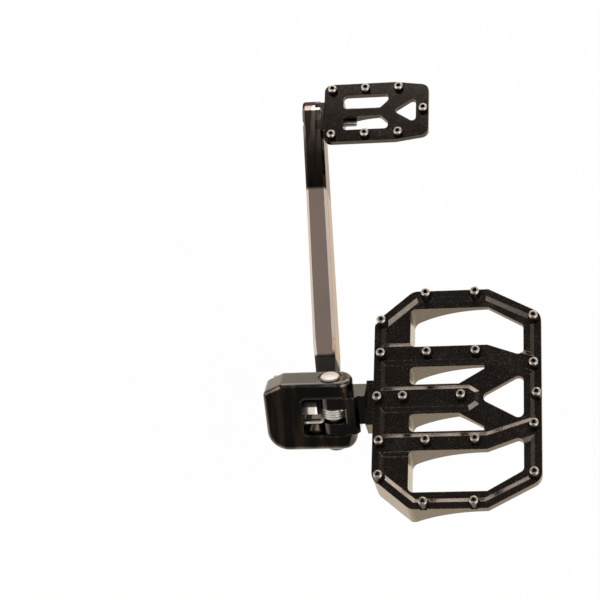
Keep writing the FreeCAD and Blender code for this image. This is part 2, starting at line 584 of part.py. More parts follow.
# Floorboard deck: side profile with the deep spine and the hollowed underside, then cut from above
deck = keep(body("floor_deck"))
deck_x = "hinge_reach + deck_reach"
left_half = "(deck_half - left_drop)"
right_half = "(deck_half - right_drop)"
corner_stud = "(deck_half - corner_drop)"
ridge_nose = "(deck_width - ridge_back)"
on_axis(deck, "deck_y", "deck_top", deck_x)
run = "(taper_end - spine_width)"
drop = "(spine_depth - plate_depth)"
hollow = f"({run}^2 + {drop}^2) / (2 * {drop})"
pad(deck, "deck_block", outline(deck, "deck_side", "XZ_Plane", [
    ("0", "0"),
    ("0", "0 - spine_depth"),
    ("spine_width", "0 - spine_depth"),
    ("taper_end", "0 - plate_depth", f"0 - {hollow}"),
    ("deck_width", "0 - plate_depth"),
    ("deck_width", "0"),
], "0 - deck_half"), "2 * deck_half")

above = "cut_over"
through = "spine_depth + 2 * cut_over"
for name, sign in (("front", "1"), ("rear", "0 - 1")):
    flip = 1 if name == "front" else -1
    pocket(deck, "deck_end_" + name, outline(deck, "deck_end_outline_" + name, "XY_Plane", [
        ("0 - cut_over", f"({sign}) * ({left_half} - cut_over * left_drop / left_cut)"),
        ("left_cut", f"({sign}) * deck_half"),
        ("deck_width - right_cut", f"({sign}) * deck_half"),
        ("deck_width + cut_over", f"({sign}) * ({right_half} - cut_over * right_drop / right_cut)"),
        ("deck_width + cut_over", f"({sign}) * (deck_half + cut_over)"),
        ("0 - cut_over", f"({sign}) * (deck_half + cut_over)"),
    ][::flip], above), through)
finish_edges(deck, "Fillet", "deck_corners", "deck_corner", upright_at([
    ("0", left_half), ("0", f"0 - {left_half}"), ("left_cut", "deck_half"), ("left_cut", "0 - deck_half"),
    ("deck_width", right_half), ("deck_width", f"0 - {right_half}"),
]))

window_x = "deck_width - frame_width"
rail = "deck_half - rail_width"
for name, sign in (("front", "1"), ("rear", "0 - 1")):
    flip = 1 if name == "front" else -1
    window = [
        ("spine_width", f"({sign}) * bar_outer"),
        ("deck_width - window_kink", f"({sign}) * bar_outer"),
        (window_x, f"({sign}) * (bar_outer - window_low_drop)"),
        (window_x, f"({sign}) * ({rail} - window_drop)"),
        ("deck_width - window_kink", f"({sign}) * ({rail})"),
        ("spine_width", f"({sign}) * ({rail})"),
    ]
    pocket(deck, "window_" + name, outline(deck, "window_outline_" + name, "XY_Plane",
           window[::flip], above), through)
    slot = [
        ("spine_width", f"({sign}) * middle_half"),
        ("deck_width - slot_end - slot_taper", f"({sign}) * middle_half"),
        ("deck_width - slot_end", f"({sign}) * (slot_outer - slot_corner_drop)"),
        ("deck_width - slot_end", f"({sign}) * slot_outer"),
        ("spine_width", f"({sign}) * slot_outer"),
    ]
    pocket(deck, "slot_" + name, outline(deck, "slot_outline_" + name, "XY_Plane",
           slot[::flip], above), through)
    finish_edges(deck, "Fillet", "opening_corners_" + name, "opening_corner", upright_at(
        [window[0], window[2], window[3], window[5], slot[0], slot[4]]))
triangle = [
    ("deck_width - apex_gap", "0"),
    (window_x, "0 - triangle_half"),
    (window_x, "triangle_half"),
]
pocket(deck, "triangle", outline(deck, "triangle_outline", "XY_Plane", triangle, above), through)
finish_edges(deck, "Fillet", "triangle_corners", "opening_corner", upright_at(triangle))

# Sunk panels between the raised rim and the raised bars, with sloping sides
rim = "rim_width"


def sunk(name, points):
    """A shallow panel whose sides slope down from the given outline on the top face."""
    made = pocket(deck, name, outline(deck, name + "_outline", "XY_Plane", points), "relief_depth")
    made.setExpression("TaperAngle", bound("0 - relief_angle"))
    doc.recompute()


rim_y = "deck_half - rim_width"
ridge_end = "deck_width - window_kink"
for name, sign in (("front", "1"), ("rear", "0 - 1")):
    flip = 1 if name == "front" else -1
    sunk("panel_" + name, [
        (rim, f"({sign}) * (bar_outer + bar_lip)"),
        (ridge_end, f"({sign}) * (bar_outer + bar_lip)"),
        ("deck_width - rim_width", f"({sign}) * (bar_outer + bar_lip - ridge_drop)"),
        ("deck_width - rim_width", f"({sign}) * ({right_half} - rim_width / 2)"),
        ("deck_width - right_cut - rim_width / 3", f"({sign}) * ({rim_y})"),
        ("left_cut + rim_width / 2", f"({sign}) * ({rim_y})"),
        (rim, f"({sign}) * ({left_half} - rim_width / 2)"),
    ][::flip])
ridge_shoulder = f"{ridge_nose} - ridge_point"
sunk("panel_middle", [
    (rim, "ridge_inner"), (rim, "middle_ridge"), (ridge_shoulder, "middle_ridge"),
    (ridge_nose, "middle_ridge / 2"), (ridge_nose, "0 - middle_ridge / 2"),
    (ridge_shoulder, "0 - middle_ridge"), (rim, "0 - middle_ridge"), (rim, "0 - ridge_inner"),
    (ridge_end, "0 - ridge_inner"), ("deck_width - rim_width", "0 - ridge_inner + ridge_drop"),
    ("deck_width - rim_width", "ridge_inner - ridge_drop"), (ridge_end, "ridge_inner"),
])

# Base flange on the inboard face of the spine, and the bore for the spigot
pad(deck, "base", outline(deck, "base_outline", "YZ_Plane", [
    ("0 - base_rear", "0 - base_foot"),
    ("base_front", "0 - base_foot"),
    ("base_front", "0 - base_drop"),
    ("0 - base_rear", "0 - base_drop"),
], "0 - base_thickness"), "base_thickness")
bore_y = f"{spigot_y} - deck_y"
bore_z = f"{spigot_z} - deck_top"
pocket(deck, "spigot_bore", circles(deck, "spigot_bore_circle", "YZ_Plane",
       [(bore_y, bore_z, "spigot_radius + running_play")], "0 - base_thickness - cut_over"),
       "spigot_length + base_thickness + cut_over", Reversed=True)
screw_spots = [f"screw_first + {index} * screw_pitch" for index in range(2)]
screw_radius = "screw_thread / 2"
pocket(deck, "screw_holes", circles(deck, "screw_hole_circles", "XY_Plane",
       [(x, bore_y, f"{screw_radius} + running_play") for x in screw_spots], "0 - spine_depth - cut_over"),
       "spine_depth / 2 + cut_over", Reversed=True)

# Traction pins: one list of places drives the pockets, the threaded holes and the pins
right = "deck_width - stud_inset"
places = [("middle_inset", "0"), ("middle_first", "0"), ("deck_width - middle_second", "0"),
          ("deck_width - middle_inset", "0")]
for sign in ("1", "0 - 1"):
    places += [
        ("row_first", f"({sign}) * (deck_half - row_inset)"),
        ("deck_width - row_second", f"({sign}) * (deck_half - row_inset)"),
        ("stud_inset", f"({sign}) * {corner_stud}"),
        (right, f"({sign}) * {corner_stud}"),
        ("stud_inset", f"({sign}) * bar_stud"),
        ("bar_first", f"({sign}) * bar_stud"),
        ("deck_width - bar_second", f"({sign}) * bar_stud"),
        (right, f"({sign}) * side_stud"),
    ]
stud_hole_depth = "stud_pocket_depth + stud_shank_length + stud_spare"
pocket(deck, "stud_pockets", circles(deck, "stud_pocket_circles", "XY_Plane",
       [(x, y, "stud_pocket / 2") for x, y in places]), "stud_pocket_depth")
pocket(deck, "stud_holes", circles(deck, "stud_hole_circles", "XY_Plane",
       [(x, y, "stud_shank / 2 + running_play") for x, y in places]), stud_hole_depth)
pocket(deck, "screw_heads", circles(deck, "screw_head_circles", "XY_Plane",
       [(x, bore_y, "screw_head / 2 + joint_play") for x in screw_spots], "0 - spine_depth - cut_over"),
       "screw_head_height + joint_play + cut_over", Reversed=True)


def hexagon(owner, name, plane, x, y, width, level):
    """The outline of a hexagon socket, from its width across the flats."""
    corner = f"({width}) / 2 / cos(30)"
    return outline(owner, name, plane, [
        (f"{x} + {corner} * cos({angle})", f"{y} + {corner} * sin({angle})") for angle in range(0, 360, 60)], level)


def stud(label, rise, sunk):
    """One traction pin: threaded shank, chamfered body that starts sunk below the top face, socket."""
    made = body(label)
    pad(made, label + "_body", circles(made, label + "_circle", "XY_Plane",
        [("0", "0", "stud_diameter / 2")], f"0 - {sunk}"), f"{sunk} + {rise}")
    finish_edges(made, "Chamfer", label + "_chamfer", "stud_chamfer",
                 lambda edge: edge.CenterOfMass.z > value(rise) - 0.01)
    pad(made, label + "_shank", circles(made, label + "_shank_circle", "XY_Plane",
        [("0", "0", "stud_shank / 2")], f"0 - {sunk} - stud_shank_length"), "stud_shank_length")
    pocket(made, label + "_socket",
           hexagon(made, label + "_socket_outline", "XY_Plane", "0", "0", "stud_socket", rise),
           "stud_socket_depth")
    return made


def copies(label, piece, spots):
    """Copies of one piece at places given as x, y and z."""
    keep(solid_group(label, [piece.Shape.translated(Vector(*[value(number) for number in spot]))
                             for spot in spots]))


copies("deck_pins", stud("deck_stud", "stud_rise", "stud_pocket_depth"),
       [(f"{deck_x} + {x}", f"deck_y + {y}", "deck_top") for x, y in places])

# Screws that hold the spigot, driven up from the underside of the spine
pocket(tongue, "spigot_threads", circles(tongue, "spigot_thread_circles", "XY_Plane",
       [(f"deck_reach + {x}", spigot_y, screw_radius) for x in screw_spots],
       level_with_part=True), "2 * spigot_radius")
spigot_screw = body("spigot_screw")
seat_z = "deck_top - spine_depth + joint_play + screw_head_height"
pad(spigot_screw, "screw_head_body", circles(spigot_screw, "screw_head_body_circle", "XY_Plane",
    [("0", "0", "screw_head / 2")], f"{seat_z} - screw_head_height"), "screw_head_height")
pad(spigot_screw, "screw_shank", circles(spigot_screw, "screw_shank_circle", "XY_Plane",
    [("0", "0", f"{screw_radius} - running_play")], seat_z), f"0 - joint_play - ({seat_z})")
pocket(spigot_screw, "screw_socket",
       hexagon(spigot_screw, "screw_socket_outline", "XY_Plane", "0", "0", "screw_thread / 2",
               f"{seat_z} - screw_head_height"), "screw_head_height / 2", Reversed=True)
copies("spigot_screws", spigot_screw, [(f"{deck_x} + {x}", spigot_y, "0") for x in screw_spots])

# Toe pad: lug against the lever's seat, plate that thins outboard, two slots and a triangle
toe_pad = keep(body("toe_pad"))
on_axis(toe_pad, pad_y, pad_top, pad_x)
pad_run = "(pad_taper_end - pad_lug)"
pad_drop = "(pad_lug_depth - pad_plate)"
pad(toe_pad, "pad_block", outline(toe_pad, "pad_side", "XZ_Plane", [
    ("0", "0"),
    ("0", "0 - pad_lug_depth"),
    ("pad_lug", "0 - pad_lug_depth"),
    ("pad_taper_end", "0 - pad_plate", f"0 - ({pad_run}^2 + {pad_drop}^2) / (2 * {pad_drop})"),
    ("pad_length", "0 - pad_plate"),
    ("pad_length", "0"),
], "0 - pad_half"), "2 * pad_half")
slope = "(pad_half - pad_tip_half) / (pad_length - pad_kink)"
pad_through = "pad_lug_depth + 2 * cut_over"
for name, sign in (("front", "1"), ("rear", "0 - 1")):
    flip = 1 if name == "front" else -1
    pocket(toe_pad, "pad_end_" + name, outline(toe_pad, "pad_end_outline_" + name, "XY_Plane", [
        ("pad_kink", f"({sign}) * pad_half"),
        ("pad_length + cut_over", f"({sign}) * (pad_tip_half - cut_over * {slope})"),
        ("pad_length + cut_over", f"({sign}) * (pad_half + cut_over)"),
        ("pad_kink", f"({sign}) * (pad_half + cut_over)"),
    ][::flip], above), pad_through)
    pocket(toe_pad, "pad_lug_side_" + name, outline(toe_pad, "pad_lug_side_outline_" + name, "XY_Plane", [
        ("0 - cut_over", f"({sign}) * pad_seat_half"),
        ("pad_taper_end", f"({sign}) * pad_seat_half"),
        ("pad_taper_end", f"({sign}) * (pad_half + cut_over)"),
        ("0 - cut_over", f"({sign}) * (pad_half + cut_over)"),
    ][::flip], "0 - pad_plate"), "pad_lug_depth")
    pad_slot = [
        ("pad_slot_start", f"({sign}) * pad_bar_half"),
        ("pad_slot_end - pad_slot_cut", f"({sign}) * pad_bar_half"),
        ("pad_slot_end", f"({sign}) * (pad_bar_half + pad_slot_cut)"),
        ("pad_slot_end", f"({sign}) * pad_slot_outer"),
        ("pad_slot_start", f"({sign}) * pad_slot_outer"),
    ]
    pocket(toe_pad, "pad_slot_" + name, outline(toe_pad, "pad_slot_outline_" + name, "XY_Plane",
           pad_slot[::flip], above), pad_through)
    finish_edges(toe_pad, "Fillet", "pad_slot_round_" + name, "pad_window_round", upright_at(pad_slot))
pad_triangle = [
    ("pad_apex", "0"),
    ("pad_window_end", "0 - pad_window_half"),
    ("pad_window_end", "pad_window_half"),
]
pocket(toe_pad, "pad_window", outline(toe_pad, "pad_window_outline", "XY_Plane", pad_triangle, above), pad_through)
finish_edges(toe_pad, "Fillet", "pad_window_corners", "pad_window_round", upright_at(pad_triangle))
finish_edges(toe_pad, "Fillet", "pad_corners", "pad_corner", upright_at([
    ("0", "pad_half"), ("0", "0 - pad_half"), ("pad_length", "pad_tip_half"), ("pad_length", "0 - pad_tip_half")]))
pocket(toe_pad, "pad_lug_holes", circles(toe_pad, "pad_lug_hole_circles", "YZ_Plane",
       [(f"({sign}) * pad_bolt_spread", "0 - pad_bolt_drop", "pad_bolt_diameter / 2 + running_play")
        for sign in ("1", "0 - 1")], "0 - cut_over"), "pad_lug + pad_bolt_stick + 2 * cut_over", Reversed=True)
pad_places = [("pad_pin_tip", "0")]
for column in range(3):
    for sign in ("1", "0 - 1"):
        pad_places.append((f"pad_pin_first + {column} * pad_pin_pitch", f"({sign}) * pad_pin_y"))
pocket(toe_pad, "pad_pin_holes", circles(toe_pad, "pad_pin_hole_circles", "XY_Plane",
       [(x, y, "stud_shank / 2 + running_play") for x, y in pad_places]), "pad_plate + stud_spare")
pocket(toe_pad, "pad_pin_seats", circles(toe_pad, "pad_pin_seat_circles", "XY_Plane",
       [(x, y, "stud_diameter / 2 + running_play") for x, y in pad_places]), "pad_pin_sink")
copies("pad_pins", stud("pad_stud", "pad_pin_rise", "pad_pin_sink"),
       [(f"{pad_x} + {x}", f"{pad_y} + {y}", pad_top) for x, y in pad_places])

# Two bolts through the lever's tip into the lug of the pad, heads on the inboard side
pad_bolt = body("pad_bolt")
turned(pad_bolt, "pad_bolt_turned", [
    ("0 - pad_bolt_seat - pad_bolt_head_height", "0"),
    ("pad_lug + pad_bolt_stick", "0"),
    ("pad_lug + pad_bolt_stick", "pad_bolt_diameter / 2 - edge_break"),
    ("pad_lug + pad_bolt_stick - edge_break", "pad_bolt_diameter / 2"),
    ("0 - pad_bolt_seat", "pad_bolt_diameter / 2"),
    ("0 - pad_bolt_seat", "pad_bolt_head / 2"),
    ("0 - pad_bolt_seat - pad_bolt_head_height + edge_break", "pad_bolt_head / 2"),
    ("0 - pad_bolt_seat - pad_bolt_head_height", "pad_bolt_head / 2 - edge_break"),
])
pocket(pad_bolt, "pad_bolt_socket",
       hexagon(pad_bolt, "pad_bolt_socket_outline", "YZ_Plane", "0", "0", "stud_socket",
               "0 - pad_bolt_seat - pad_bolt_head_height"), "pad_bolt_head_height / 2", Reversed=True)
copies("pad_bolts", pad_bolt, [(pad_x, f"{pad_y} + ({sign}) * pad_bolt_spread", f"{pad_top} - pad_bolt_drop")
                               for sign in ("1", "0 - 1")])

# Everything is checked before any file is written
doc.recompute()
for item in doc.Objects:
    faults = [state for state in item.State if state in ("Invalid", "Error")]
    if faults:
        raise RuntimeError(item.Name + " failed to build")
for item in pieces:
    if item.Shape.isNull() or not item.Shape.isValid():
        raise RuntimeError(item.Label + " has no valid shape")
os.makedirs("parts", exist_ok=True)
for item in pieces:
    item.Shape.exportStep("parts/" + item.Label + ".step")
    print(item.Label, len(item.Shape.Solids), "solids,", round(item.Shape.Volume), "cubic mm")
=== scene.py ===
# %% [markdown]
# # A folding floorboard with a toe lever
#
# The metal parts of this floorboard come from a packed model: their sizes and places are settled,
# and nothing here moves them. What is missing is how they look. Black anodised plates whose walls
# mirror a pale floor, a chromed lever, satin pins and a spring of plain wire are all metal, so
# most of this lesson is about finishes: what a surface mirrors, how fine its grain is, and how
# its edges catch the light. One piece, the spring, is made anew.

import bpy
import numpy as np
from mathutils import Matrix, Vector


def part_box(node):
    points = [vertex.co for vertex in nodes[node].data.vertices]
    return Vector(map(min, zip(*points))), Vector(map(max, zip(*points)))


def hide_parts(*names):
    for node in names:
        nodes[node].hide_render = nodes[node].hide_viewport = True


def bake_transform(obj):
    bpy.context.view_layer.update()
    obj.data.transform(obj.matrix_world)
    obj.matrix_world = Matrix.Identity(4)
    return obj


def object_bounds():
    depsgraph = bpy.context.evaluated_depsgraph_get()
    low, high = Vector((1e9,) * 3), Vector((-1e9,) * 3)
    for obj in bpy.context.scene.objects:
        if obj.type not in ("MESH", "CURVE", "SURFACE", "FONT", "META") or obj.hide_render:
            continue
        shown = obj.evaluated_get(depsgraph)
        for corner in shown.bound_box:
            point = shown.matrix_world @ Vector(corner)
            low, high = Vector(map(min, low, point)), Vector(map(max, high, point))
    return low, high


MM = 0.001
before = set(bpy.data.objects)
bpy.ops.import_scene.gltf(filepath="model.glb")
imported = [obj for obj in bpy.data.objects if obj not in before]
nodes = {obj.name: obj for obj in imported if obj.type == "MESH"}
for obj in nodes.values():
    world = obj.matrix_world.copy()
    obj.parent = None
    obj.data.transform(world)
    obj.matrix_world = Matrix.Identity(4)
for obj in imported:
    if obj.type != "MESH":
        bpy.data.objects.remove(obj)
cad_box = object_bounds()

# %% [markdown]
# ## Standing a camera or a lamp
#
# A camera and a lamp both look along their own -Z. Both are placed by one matrix: its first three
# columns are the thing's right, up and back directions, and its last column is the place.

# %% Place a thing by its directions
def stand(thing, directions, place):
    """Links a camera or a lamp; the directions are right, up and back in the world."""
    matrix = np.eye(4)
    matrix[:3, :3] = np.array(directions).T
    matrix[:3, 3] = place
    bpy.context.scene.collection.objects.link(thing)
    thing.matrix_world = Matrix(matrix.tolist())


# %% [markdown]
# ## The camera
#
# The floorboard is seen from high above and a little behind, from far away, so that parallel
# edges stay almost parallel. A lens of 138 mm on a 36 mm sensor does that. The camera's three
# directions come from turning the view about the object's own axes, which is easier to correct by
# small amounts than a target point.

# %% Camera
PITCH, YAW, ROLL = -0.431, -0.1747, -0.0396
EYE = np.array([241.4, -519.0, 1269.8]) * MM
LENS, SENSOR, FARTHEST = 138.0, 36.0, 20.0


def turn(axis, angle):
    """A 3 by 3 turn about one axis: cosines on the diagonal, sines across it."""
    cos, sin = np.cos(angle), np.sin(angle)
    first, second = [index for index in range(3) if index != axis]
    made = np.eye(3)
    made[first, first] = made[second, second] = cos
    sign = -1 if axis == 1 else 1
    made[first, second], made[second, first] = -sign * sin, sign * sin
    return made


view = turn(2, ROLL) @ turn(0, PITCH) @ turn(1, YAW)
optics = bpy.data.cameras.new("camera")
optics.lens, optics.sensor_width, optics.clip_end = LENS, SENSOR, FARTHEST
camera = bpy.data.objects.new("camera", optics)
stand(camera, view, EYE)
bpy.context.scene.camera = camera
bpy.context.scene.view_settings.view_transform = "Standard"
print("camera looks along", np.round(-view[2], 3))

# %% [markdown]
# ## Shader maths in plain Python
#
# A finish is a sum of masks: speckle times a shade, minus wear, and so on. Wiring that by hand
# takes dozens of Math nodes. One small class wraps a socket and adds the node when Python meets
# an operator, so a mask can be written as it is said. The reflected forms let a plain number
# stand on the left, as in 1 - mask.

# %% A socket that can be added, multiplied and compared
class Lane:
    """One socket of a finish. Arithmetic on it adds Math nodes to the same finish."""

    def __init__(self, finish, socket):
        self.finish = finish
        self.socket = socket

    def maths(self, operation, first, second):
        return self.finish.add("Math", {"operation": operation}, {0: first, 1: second})

    def __add__(self, other):
        return self.maths("ADD", self, other)

    def __mul__(self, other):
        return self.maths("MULTIPLY", self, other)

    def __sub__(self, other):
        return self.maths("SUBTRACT", self, other)

    def __rsub__(self, other):
        return self.maths("SUBTRACT", other, self)

    __radd__ = __add__
    __rmul__ = __mul__

    def between(self, low, high):
        """0 below low, 1 above high, and a soft S curve between them."""
        settings = {"interpolation_type": "SMOOTHSTEP", "clamp": True}
        inputs = {"Value": self, "From Min": low, "From Max": high}
        return self.finish.add("MapRange", settings, inputs)


print("operators that add a node: +, -, * and between")

# %% [markdown]
# ## One method for every other node
#
# The second class holds the nodes of a material or of the world. Its method add takes the node's
# type, its settings and its inputs, in that order, because some nodes change their sockets with a
# setting. An input is a plain value, which is set, or a lane, which is linked.

# %% The nodes of a finish
class Finish:
    """The nodes of a material or of a world."""

    def __init__(self, owner):
        owner.use_nodes = True
        self.owner = owner
        self.tree = owner.node_tree
        self.tree.nodes.clear()

    def add(self, kind, settings=None, inputs=None, output=0):
        """Adds a node: first its settings, then the values or links of its sockets."""
        node = self.tree.nodes.new("ShaderNode" + kind)
        for name, setting in (settings or {}).items():
            if name == "stops":
                self.fill_ramp(node.color_ramp.elements, setting)
            else:
                setattr(node, name, setting)
        for name, item in (inputs or {}).items():
            self.feed(node.inputs[name], item)
        return Lane(self, node.outputs[output])

    def feed(self, socket, item):
        """Links a lane to a socket, or sets the socket to a number, a vector or a colour."""
        if isinstance(item, Lane):
            self.tree.links.new(item.socket, socket)
        elif socket.type == "RGBA":
            socket.default_value = (*item, 1.0)
        else:
            socket.default_value = item

    def fill_ramp(self, ramp, stops):
        """Gives a colour ramp as many stops as listed, each a place from 0 to 1 and a colour."""
        while len(ramp) < len(stops):
            ramp.new(0.5)
        for stop, (place, color) in zip(ramp, stops):
            stop.position = place
            stop.color = (*color, 1.0)

    def split(self, vector):
        """The three parts of a vector, each as a lane."""
        node = self.add("SeparateXYZ", None, {0: vector}).socket.node
        return [Lane(self, socket) for socket in node.outputs]

    def mix(self, mask, first, second):
        """One colour where the mask is 0, the other where it is 1."""
        return self.add("Mix", {"data_type": "RGBA"}, {0: mask, 6: first, 7: second}, 2)

    def end(self, shader, kind="OutputMaterial"):
        """Leads the last shader to the output, and gives back the material or the world."""
        output = self.tree.nodes.new("ShaderNode" + kind)
        self.tree.links.new(shader.socket, output.inputs["Surface"])
        return self.owner


print("a finish can:", ", ".join(name for name in vars(Finish) if not name.startswith("_")))

# %% [markdown]
# ## Patterns and relief for metal
#
# Every metal below is made from the same few things: the place of the shaded point, noise at that
# place, a stretch that draws the noise out into lines, and a fine relief laid over rounded edges.
# The rounding comes from the Bevel node, which only bends the mirror image at an edge, so the
# part keeps its shape.

# %% A finish for metal
BEVEL_SAMPLES = 4


class Metal(Finish):
    """The nodes of a new material, with the patterns that metal needs."""

    def __init__(self, name):
        super().__init__(bpy.data.materials.new(name))

    def place(self):
        """The point that is shaded, in metres in the part's own frame."""
        return self.add("TexCoord", output="Object")

    def noise(self, vector, scale, detail=2.0, roughness=0.5):
        """Soft grey clouds; scale is their count per metre, detail the number of finer layers."""
        inputs = {"Vector": vector, "Scale": scale, "Detail": detail, "Roughness": roughness}
        return self.add("TexNoise", None, inputs)

    def stretched(self, vector, scale):
        """The same places squeezed along some axes, so that a pattern runs long along them."""
        return self.add("Mapping", None, {"Vector": vector, "Scale": scale})

    def relief(self, height, strength, depth, edge):
        """A normal: edges rounded by a radius, with a fine relief of the given depth on top."""
        rounded = self.add("Bevel", {"samples": BEVEL_SAMPLES}, {"Radius": edge})
        inputs = {"Strength": strength, "Distance": depth, "Height": height, "Normal": rounded}
        return self.add("Bump", None, inputs)

    def close(self, inputs):
        """Ends the finish in one shader, bare metal unless the inputs say otherwise."""
        return self.end(self.add("BsdfPrincipled", None, {"Metallic": 1.0, **inputs}))


print("metal can also:", ", ".join(name for name in vars(Metal) if not name.startswith("_")))

# %% [markdown]
# ## A pale floor
#
# Black gloss shows almost nothing but its surroundings. The plates are black from above because
# the room overhead is dim, and their walls are cream because they mirror a bright floor at a
# grazing angle. So the floor answers three kinds of ray. The camera sees it nearly white, with a
# little of the object's shadow. A mirror sees it glow warm. Everything else sees pale matt paint.

# %% Floor
FLOOR_DROP, FLOOR_HALF = 90 * MM, 6.0
WHITE = (1.0, 1.0, 1.0)
FLOOR_TONE, FLOOR_GLOW, GLOW_STRENGTH = (0.9, 0.89, 0.87), (0.93, 0.88, 0.80), 1.3
WHITE_SHARE, GLOW_SHARE = 0.96, 0.85

floor_level = cad_box[0][2] - FLOOR_DROP
corners = np.array([(-1, -1, 0), (1, -1, 0), (1, 1, 0), (-1, 1, 0)]) * FLOOR_HALF
corners[:, 2] = floor_level
floor_mesh = bpy.data.meshes.new("floor")
floor_mesh.from_pydata(corners.tolist(), [], [(0, 1, 2, 3)])
floor = bpy.data.objects.new("floor", floor_mesh)
bpy.context.scene.collection.objects.link(floor)

paint = Finish(bpy.data.materials.new("floor_paint"))
seen = paint.add("LightPath", output="Is Camera Ray")
mirrored = paint.add("LightPath", output="Is Glossy Ray")
matt = paint.add("BsdfDiffuse", None, {"Color": FLOOR_TONE})
white_light = paint.add("Emission", None, {"Color": WHITE})
warm_light = paint.add("Emission", None, {"Color": FLOOR_GLOW, "Strength": GLOW_STRENGTH})
mostly_white = paint.add("MixShader", None, {0: seen * WHITE_SHARE, 1: matt, 2: white_light})
by_ray = {0: mirrored * GLOW_SHARE, 1: mostly_white, 2: warm_light}
floor_mesh.materials.append(paint.end(paint.add("MixShader", None, by_ray)))
print("floor at", round(floor_level, 4))

# %% [markdown]
# ## A room with dim and bright parts
#
# The sky is a ramp by height: bright along the horizon and dim overhead. Three places differ.
# Behind the camera it is dark, because the faces that lean back at the viewer are black on the
# real one. A small brighter patch right overhead is what the top of the lever mirrors. And a glow
# low in front, as of a window, is what the sunk panels of the deck mirror. The camera itself sees
# plain white.

# %% Sky
SKY_LOW, SKY_MIDDLE, SKY_HIGH = (0.95, 0.93, 0.90), (0.30, 0.285, 0.27), (0.075, 0.070, 0.066)
SKY_STOPS = [(0.0, SKY_LOW), (0.12, SKY_LOW), (0.42, SKY_MIDDLE), (0.72, SKY_HIGH)]
SKY_BEHIND, SKY_FRONT, SKY_TOP = (0.10, 0.095, 0.09), (3.0, 2.85, 2.8), (0.30, 0.265, 0.245)
BEHIND_BAND, FRONT_BAND = (-0.75, -0.1), (0.72, 0.9)
LOW_BAND, TOP_BAND = (0.22, 0.40), (0.945, 0.965)

world = bpy.data.worlds.new("soft_room")
bpy.context.scene.world = world
sky = Finish(world)
_, forward, height = sky.split(sky.add("TexCoord", output="Generated"))
ramp = sky.add("ValToRGB", {"stops": SKY_STOPS}, {"Fac": height})
dark_behind = sky.mix(forward.between(*BEHIND_BAND), SKY_BEHIND, ramp)
low_front = forward.between(*FRONT_BAND) * (1.0 - height.between(*LOW_BAND))
bright_front = sky.mix(low_front, dark_behind, SKY_FRONT)
room = sky.mix(height.between(*TOP_BAND), bright_front, SKY_TOP)
shown = sky.mix(sky.add("LightPath", output="Is Camera Ray"), room, WHITE)
sky.end(sky.add("Background", None, {"Color": shown, "Strength": 1.0}), "OutputWorld")
print("sky nodes:", len(sky.tree.nodes))

# %% [markdown]
# ## Lamps
#
# Rounded edges need something bright to catch. Three wide panels stand round the object, on the
# right, in front and on the left. Each is large, so its shadow is soft, and none stands where the
# flat top faces would mirror it into the camera. A fourth lamp is small, bluish and high: it puts
# sparks on corners and on grains of the skin.

# %% Lamps
SKYWARD = (0.0, 0.0, 1.0)
LAMPS = [  # name, place and size in metres, power in watts, colour
    ("lamp_right", (1.0, -0.5, 0.9), 1.2, 11.0, WHITE),
    ("lamp_front", (0.25, 1.3, 0.75), 1.3, 12.0, WHITE),
    ("lamp_left", (-1.1, -0.25, 0.8), 1.1, 9.0, WHITE),
    ("lamp_glint", (-0.09, -0.47, 1.35), 0.14, 1.3, (0.85, 0.92, 1.0)),
]


def unit(vector):
    """The same direction at length one."""
    return vector / np.linalg.norm(vector)


middle = (np.array(cad_box[0]) + np.array(cad_box[1])) / 2
for name, place, size, power, color in LAMPS:
    panel = bpy.data.lights.new(name, "AREA")
    panel.size, panel.energy, panel.color = size, power, color
    back = unit(np.array(place) - middle)
    right = unit(np.cross(SKYWARD, back))
    stand(bpy.data.objects.new(name, panel), (right, np.cross(back, right), back), place)
print("lamps:", len(LAMPS))

# %% [markdown]
# ## Black anodised plate
#
# The deck and the toe pad are aluminium with a hard black skin over a fine blast, so the top
# glitters with grains of about a quarter of a millimetre. As a shader that is a metal whose
# head-on mirror colour is nearly black, while its grazing colour is warm: Specular Tint holds it.
# The grains are cells of a Voronoi pattern, a few of them brighter than the rest, and a low bump
# breaks the mirror.

# %% Black anodised finish
EDGE_WARM = (1.0, 0.93, 0.83)
GRAINS_PER_METRE = 4200.0
SPECK_BAND, WEAR_BAND = (0.93, 1.0), (0.52, 0.72)
SPECK_SHARE, WEAR_SHARE, WEAR_LIGHTER, WEAR_GREY = 0.5, 0.4, 1.5, 0.002


def black_plate(name, base, speck, roughness, edge):
    """Near-black metal with bright specks and cloudy wear; edge is the rounding in metres."""
    finish = Metal(name)
    place = finish.place()
    grains = {"Vector": place, "Scale": GRAINS_PER_METRE}
    cells = finish.add("TexVoronoi", {"feature": "F1"}, grains, "Color")
    speckle = finish.split(cells)[0].between(*SPECK_BAND)
    worn = finish.noise(place, scale=60.0, detail=4.0, roughness=0.6).between(*WEAR_BAND)
    lighter = tuple(WEAR_LIGHTER * channel + WEAR_GREY for channel in base)
    shade = finish.mix(worn * WEAR_SHARE, base, lighter)
    fine = finish.noise(place, scale=GRAINS_PER_METRE / 2, detail=3.0, roughness=0.6)
    return finish.close({
        "Base Color": finish.mix(speckle * SPECK_SHARE, shade, speck),
        "Roughness": roughness + speckle * 0.12 + worn * 0.05,
        "Specular Tint": EDGE_WARM,
        "Normal": finish.relief(fine, strength=0.10, depth=0.2 * MM, edge=edge),
    })


deck_black = black_plate("deck_black", base=(0.100, 0.083, 0.070), speck=(0.50, 0.45, 0.42),
                         roughness=0.17, edge=0.5 * MM)
pad_black = black_plate("pad_black", base=(0.045, 0.036, 0.030), speck=(0.40, 0.36, 0.33),
                        roughness=0.15, edge=0.6 * MM)
print("plates:", deck_black.name, pad_black.name)

